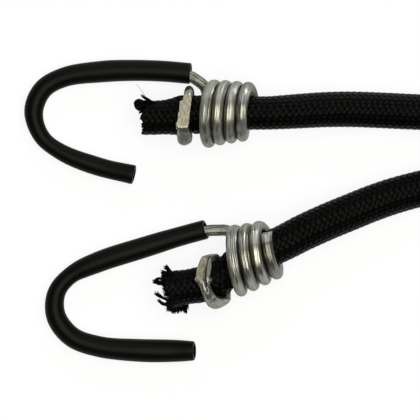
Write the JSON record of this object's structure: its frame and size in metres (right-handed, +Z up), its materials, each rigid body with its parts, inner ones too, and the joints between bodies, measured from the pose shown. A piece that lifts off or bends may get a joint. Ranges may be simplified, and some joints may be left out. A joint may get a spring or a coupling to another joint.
{
  "type": "bungee cord",
  "caption": "Elastic cord in a black braided jacket, doubled back on itself, with an open sleeved wire hook coiled onto each end, for holding loads down.",
  "frame": {"origin": "on the surface that the cord lies on, under the middle of the box round both hooks and clamp rings", "axes": "+Z up from that surface, +X from the hooks' bends towards the free cord, +Y from hook B to hook A"},
  "size_m": [0.2804, 0.0976, 0.0194],
  "materials": {
    "braid": "black textile braid with a faint sheen",
    "latex": "matt latex strand",
    "zinc_wire": "drawn wire, bright zinc plated",
    "clamp_ring": "zinc plated wire, crushed white and rough at the joint",
    "vinyl": "satin black vinyl"
  },
  "bodies": {
    "cord": {"jacket_run_a": "braid", "strand_1_run_a": "latex", "strand_2_run_a": "latex", "strand_3_run_a": "latex", "strand_4_run_a": "latex", "strand_5_run_a": "latex", "strand_6_run_a": "latex", "strand_7_run_a": "latex", "jacket_bight": "braid", "strand_1_bight": "latex", "strand_2_bight": "latex", "strand_3_bight": "latex", "strand_4_bight": "latex", "strand_5_bight": "latex", "strand_6_bight": "latex", "strand_7_bight": "latex", "jacket_run_b": "braid", "strand_1_run_b": "latex", "strand_2_run_b": "latex", "strand_3_run_b": "latex", "strand_4_run_b": "latex", "strand_5_run_b": "latex", "strand_6_run_b": "latex", "strand_7_run_b": "latex"},
    "end_a": {"jacket_end_a": "braid", "strand_1_end_a": "latex", "strand_2_end_a": "latex", "strand_3_end_a": "latex", "strand_4_end_a": "latex", "strand_5_end_a": "latex", "strand_6_end_a": "latex", "strand_7_end_a": "latex", "clamp_ring_a": "clamp_ring"},
    "end_b": {"jacket_end_b": "braid", "strand_1_end_b": "latex", "strand_2_end_b": "latex", "strand_3_end_b": "latex", "strand_4_end_b": "latex", "strand_5_end_b": "latex", "strand_6_end_b": "latex", "strand_7_end_b": "latex", "clamp_ring_b": "clamp_ring"},
    "hook_a": {"hook_wire_a": "zinc_wire", "hook_sleeve_a": "vinyl"},
    "hook_b": {"hook_wire_b": "zinc_wire", "hook_sleeve_b": "vinyl"}
  },
  "joints": [
    {"name": "stretch_a", "type": "slide", "parent": "cord", "child": "end_a", "axis": [-0.999, -0.0436, 0], "range_m": [0, 0.15], "stiffness_N_per_m": 900, "deforming": ["jacket_run_a", "strand_1_run_a", "strand_2_run_a", "strand_3_run_a", "strand_4_run_a", "strand_5_run_a", "strand_6_run_a", "strand_7_run_a"]},
    {"name": "swivel_a", "type": "hinge", "parent": "end_a", "child": "hook_a", "pos_m": [0.0149, 0.0274, 0.0098], "axis": [0.999, 0.0436, 0], "continuous": true},
    {"name": "stretch_b", "type": "slide", "parent": "cord", "child": "end_b", "axis": [-0.9397, -0.342, 0], "range_m": [0, 0.15], "stiffness_N_per_m": 900, "deforming": ["jacket_run_b", "strand_1_run_b", "strand_2_run_b", "strand_3_run_b", "strand_4_run_b", "strand_5_run_b", "strand_6_run_b", "strand_7_run_b"]},
    {"name": "swivel_b", "type": "hinge", "parent": "end_b", "child": "hook_b", "pos_m": [0.0223, -0.0151, 0.0098], "axis": [0.9397, 0.342, 0], "continuous": true}
  ]
}
